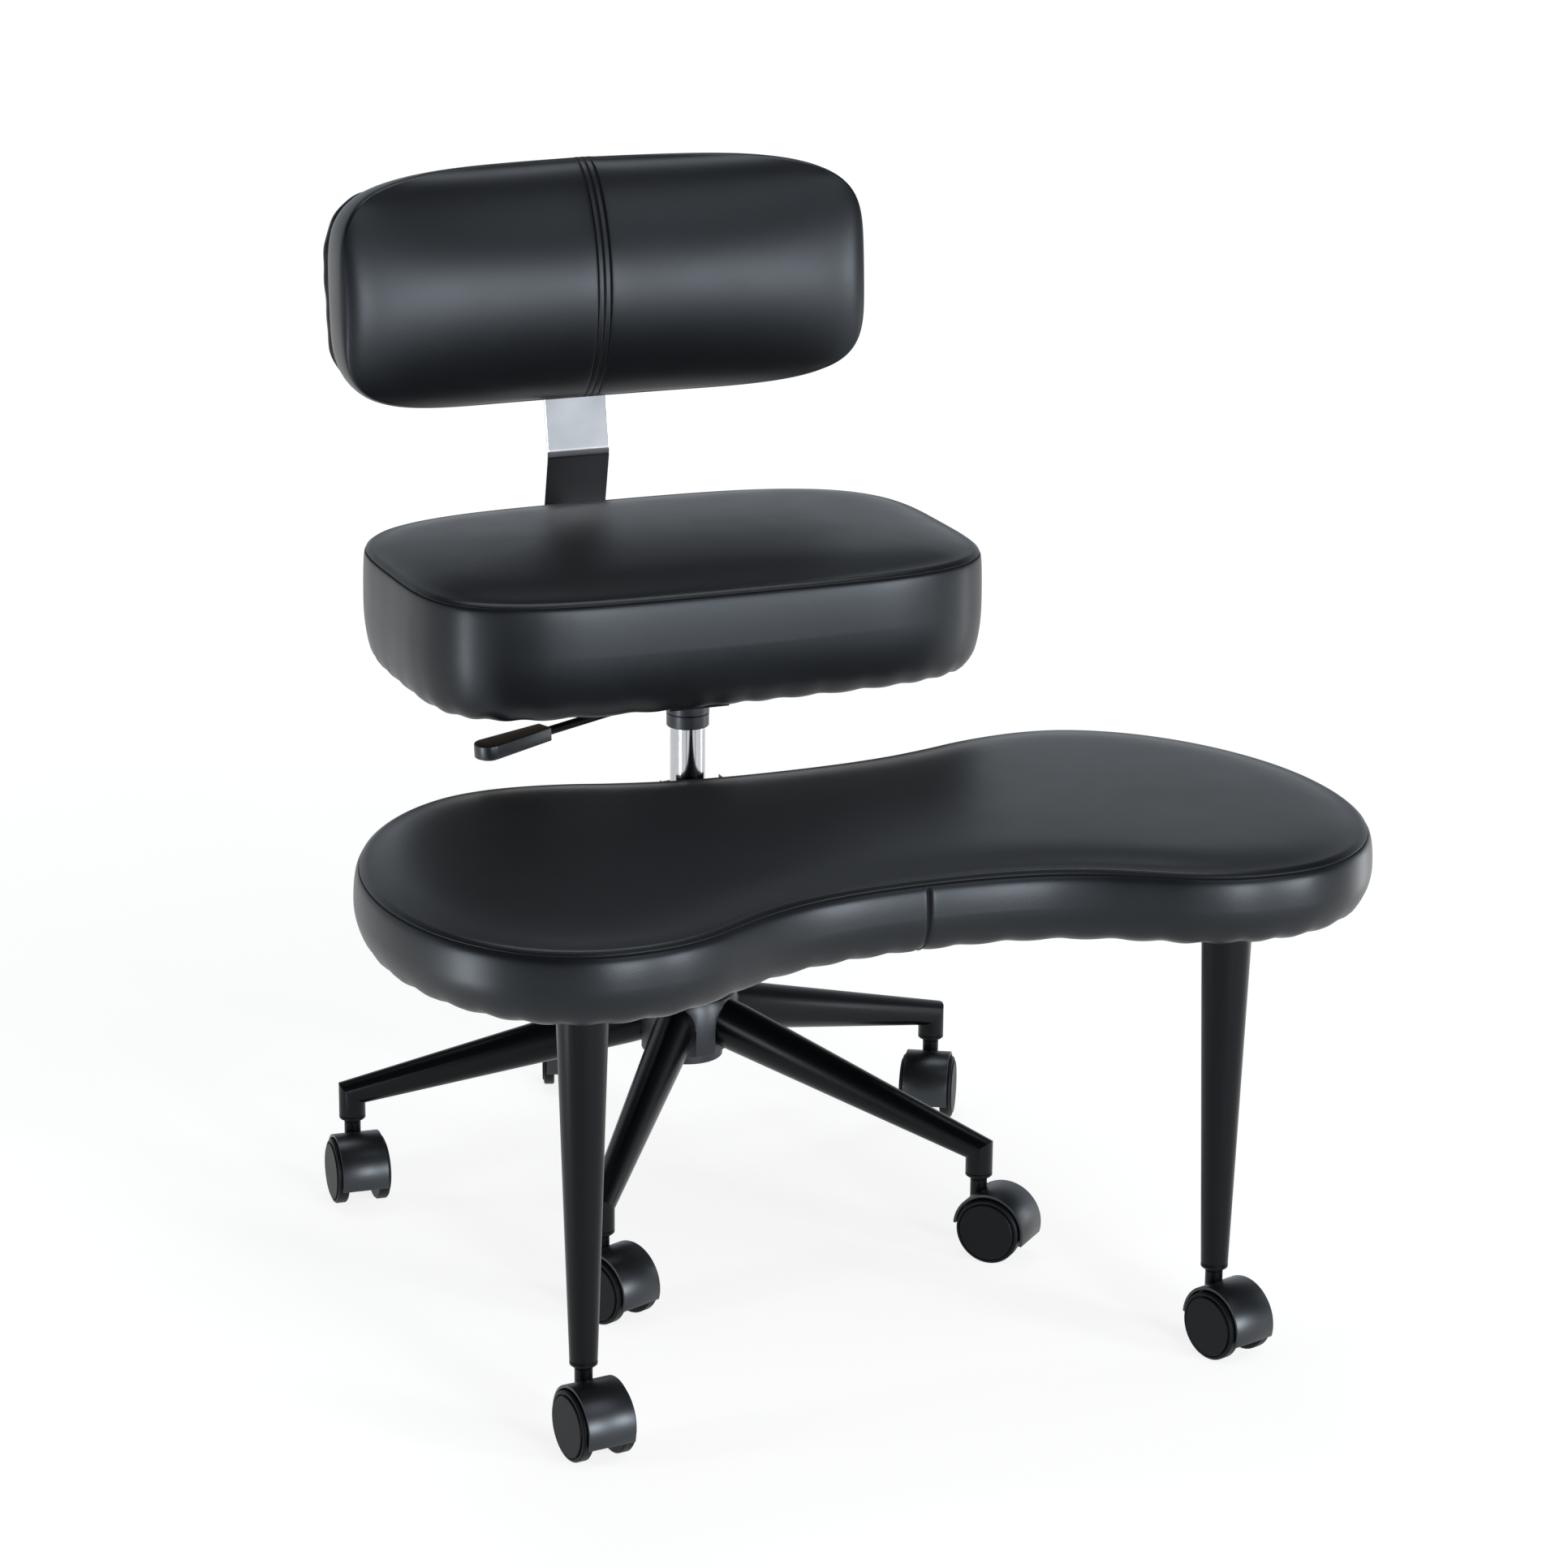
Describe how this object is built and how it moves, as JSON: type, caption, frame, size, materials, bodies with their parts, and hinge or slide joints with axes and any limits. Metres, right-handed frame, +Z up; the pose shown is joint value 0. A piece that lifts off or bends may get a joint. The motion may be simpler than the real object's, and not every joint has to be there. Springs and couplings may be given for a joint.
{
  "type": "cross-legged office chair",
  "caption": "Armless office chair for cross-legged sitting: padded seat and low back on a gas lift and star base, with a wide kidney-shaped front platform on caster legs.",
  "frame": {"origin": "on the floor, under the middle of the chair's bounding box", "axes": "+Z up, -Y the way the sitter faces, +X the sitter's left"},
  "size_m": [0.7596, 0.8342, 0.8078],
  "materials": {
    "black_leather": "satin",
    "satin_black_steel": "satin",
    "black_moulding": "satin",
    "caster_wheel": "satin",
    "chrome": "polished",
    "gloss_black_strip": "gloss",
    "bare_steel": "bare",
    "guide_plastic": "matte",
    "plywood": "raw"
  },
  "bodies": {
    "base": {"base_hub": "black_moulding", "base_arm_1": "satin_black_steel", "base_arm_2": "satin_black_steel", "base_arm_3": "satin_black_steel", "base_arm_4": "satin_black_steel", "base_arm_5": "satin_black_steel", "column_tube": "satin_black_steel", "column_bush": "guide_plastic", "thrust_bearing": "bare_steel", "caster_1_stem": "satin_black_steel", "caster_2_stem": "satin_black_steel", "caster_3_stem": "satin_black_steel", "caster_4_stem": "satin_black_steel", "caster_5_stem": "satin_black_steel"},
    "spindle": {"piston_rod": "bare_steel"},
    "seat": {"gas_cylinder": "chrome", "seat_plate": "satin_black_steel", "seat_board": "plywood", "seat_cushion": "black_leather", "back_bracket": "gloss_black_strip", "back_cover": "black_leather", "back_cushion": "black_leather"},
    "valve": {"valve_pin": "bare_steel"},
    "lever": {"lever_rod": "satin_black_steel", "lever_grip": "black_moulding"},
    "platform": {"platform_board": "plywood", "platform_cushion": "black_leather", "platform_bracket": "satin_black_steel", "platform_leg_left": "satin_black_steel", "platform_leg_right": "satin_black_steel", "caster_6_stem": "satin_black_steel", "caster_7_stem": "satin_black_steel"},
    "caster_1": {"caster_1_hood": "black_moulding", "caster_1_axle": "bare_steel"},
    "caster_1_left": {"caster_1_wheel_left": "caster_wheel"},
    "caster_1_right": {"caster_1_wheel_right": "caster_wheel"},
    "caster_2": {"caster_2_hood": "black_moulding", "caster_2_axle": "bare_steel"},
    "caster_2_left": {"caster_2_wheel_left": "caster_wheel"},
    "caster_2_right": {"caster_2_wheel_right": "caster_wheel"},
    "caster_3": {"caster_3_hood": "black_moulding", "caster_3_axle": "bare_steel"},
    "caster_3_left": {"caster_3_wheel_left": "caster_wheel"},
    "caster_3_right": {"caster_3_wheel_right": "caster_wheel"},
    "caster_4": {"caster_4_hood": "black_moulding", "caster_4_axle": "bare_steel"},
    "caster_4_left": {"caster_4_wheel_left": "caster_wheel"},
    "caster_4_right": {"caster_4_wheel_right": "caster_wheel"},
    "caster_5": {"caster_5_hood": "black_moulding", "caster_5_axle": "bare_steel"},
    "caster_5_left": {"caster_5_wheel_left": "caster_wheel"},
    "caster_5_right": {"caster_5_wheel_right": "caster_wheel"},
    "caster_6": {"caster_6_hood": "black_moulding", "caster_6_axle": "bare_steel"},
    "caster_6_left": {"caster_6_wheel_left": "caster_wheel"},
    "caster_6_right": {"caster_6_wheel_right": "caster_wheel"},
    "caster_7": {"caster_7_hood": "black_moulding", "caster_7_axle": "bare_steel"},
    "caster_7_left": {"caster_7_wheel_left": "caster_wheel"},
    "caster_7_right": {"caster_7_wheel_right": "caster_wheel"}
  },
  "joints": [
    {"name": "seat_swivel", "type": "hinge", "parent": "base", "child": "spindle", "pos_m": [0, 0.12773, 0.13], "axis": [0, 0, 1], "continuous": true},
    {"name": "seat_lift", "type": "slide", "parent": "spindle", "child": "seat", "axis": [0, 0, 1], "range_m": [0, 0.09]},
    {"name": "lever_pivot", "type": "hinge", "parent": "seat", "child": "lever", "pos_m": [-0.025, 0.10942, 0.4224], "axis": [-0.3584, 0.9336, 0], "range_deg": [0, 3], "stiffness_Nm_per_rad": 2, "springref_deg": -2.86},
    {"name": "valve_slide", "type": "slide", "parent": "seat", "child": "valve", "axis": [0, 0, -1], "range_m": [0, 0.002]},
    {"name": "platform_swivel", "type": "hinge", "parent": "base", "child": "platform", "pos_m": [0, 0.12773, 0.32], "axis": [0, 0, 1], "continuous": true},
    {"name": "caster_1_swivel", "type": "hinge", "parent": "base", "child": "caster_1", "pos_m": [-0.00472, 0.39838, 0.06], "axis": [0, 0, 1], "continuous": true},
    {"name": "caster_1_left_spin", "type": "hinge", "parent": "caster_1", "child": "caster_1_left", "pos_m": [-0.01037, 0.38288, 0.026], "axis": [0.9397, -0.342, 0], "continuous": true},
    {"name": "caster_1_right_spin", "type": "hinge", "parent": "caster_1", "child": "caster_1_right", "pos_m": [-0.01037, 0.38288, 0.026], "axis": [0.9397, -0.342, 0], "continuous": true},
    {"name": "caster_2_swivel", "type": "hinge", "parent": "base", "child": "caster_2", "pos_m": [-0.25887, 0.20687, 0.06], "axis": [0, 0, 1], "continuous": true},
    {"name": "caster_2_left_spin", "type": "hinge", "parent": "caster_2", "child": "caster_2_left", "pos_m": [-0.26002, 0.19041, 0.026], "axis": [0.9976, -0.0698, 0], "continuous": true},
    {"name": "caster_2_right_spin", "type": "hinge", "parent": "caster_2", "child": "caster_2_right", "pos_m": [-0.26002, 0.19041, 0.026], "axis": [0.9976, -0.0698, 0], "continuous": true},
    {"name": "caster_3_swivel", "type": "hinge", "parent": "base", "child": "caster_3", "pos_m": [-0.15527, -0.09402, 0.06], "axis": [0, 0, 1], "continuous": true},
    {"name": "caster_3_left_spin", "type": "hinge", "parent": "caster_3", "child": "caster_3_left", "pos_m": [-0.14882, -0.10921, 0.026], "axis": [0.9205, 0.3907, 0], "continuous": true},
    {"name": "caster_3_right_spin", "type": "hinge", "parent": "caster_3", "child": "caster_3_right", "pos_m": [-0.14882, -0.10921, 0.026], "axis": [0.9205, 0.3907, 0], "continuous": true},
    {"name": "caster_4_swivel", "type": "hinge", "parent": "base", "child": "caster_4", "pos_m": [0.16291, -0.08847, 0.06], "axis": [0, 0, 1], "continuous": true},
    {"name": "caster_4_left_spin", "type": "hinge", "parent": "caster_4", "child": "caster_4_left", "pos_m": [0.17395, -0.10073, 0.026], "axis": [0.7431, 0.6691, 0], "continuous": true},
    {"name": "caster_4_right_spin", "type": "hinge", "parent": "caster_4", "child": "caster_4_right", "pos_m": [0.17395, -0.10073, 0.026], "axis": [0.7431, 0.6691, 0], "continuous": true},
    {"name": "caster_5_swivel", "type": "hinge", "parent": "base", "child": "caster_5", "pos_m": [0.25595, 0.21586, 0.06], "axis": [0, 0, 1], "continuous": true},
    {"name": "caster_5_left_spin", "type": "hinge", "parent": "caster_5", "child": "caster_5_left", "pos_m": [0.2477, 0.20157, 0.026], "axis": [0.866, -0.5, 0], "continuous": true},
    {"name": "caster_5_right_spin", "type": "hinge", "parent": "caster_5", "child": "caster_5_right", "pos_m": [0.2477, 0.20157, 0.026], "axis": [0.866, -0.5, 0], "continuous": true},
    {"name": "caster_6_swivel", "type": "hinge", "parent": "platform", "child": "caster_6", "pos_m": [0.2514, -0.32088, 0.06], "axis": [0, 0, 1], "continuous": true},
    {"name": "caster_6_left_spin", "type": "hinge", "parent": "caster_6", "child": "caster_6_left", "pos_m": [0.25622, -0.33665, 0.026], "axis": [0.9563, 0.2924, 0], "continuous": true},
    {"name": "caster_6_right_spin", "type": "hinge", "parent": "caster_6", "child": "caster_6_right", "pos_m": [0.25622, -0.33665, 0.026], "axis": [0.9563, 0.2924, 0], "continuous": true},
    {"name": "caster_7_swivel", "type": "hinge", "parent": "platform", "child": "caster_7", "pos_m": [-0.2514, -0.32088, 0.06], "axis": [0, 0, 1], "continuous": true},
    {"name": "caster_7_left_spin", "type": "hinge", "parent": "caster_7", "child": "caster_7_left", "pos_m": [-0.24939, -0.33725, 0.026], "axis": [0.9925, 0.1219, 0], "continuous": true},
    {"name": "caster_7_right_spin", "type": "hinge", "parent": "caster_7", "child": "caster_7_right", "pos_m": [-0.24939, -0.33725, 0.026], "axis": [0.9925, 0.1219, 0], "continuous": true}
  ],
  "couplings": [
    {"joint": "valve_slide", "follows": "lever_pivot", "m_per_rad": 0.0299}
  ]
}
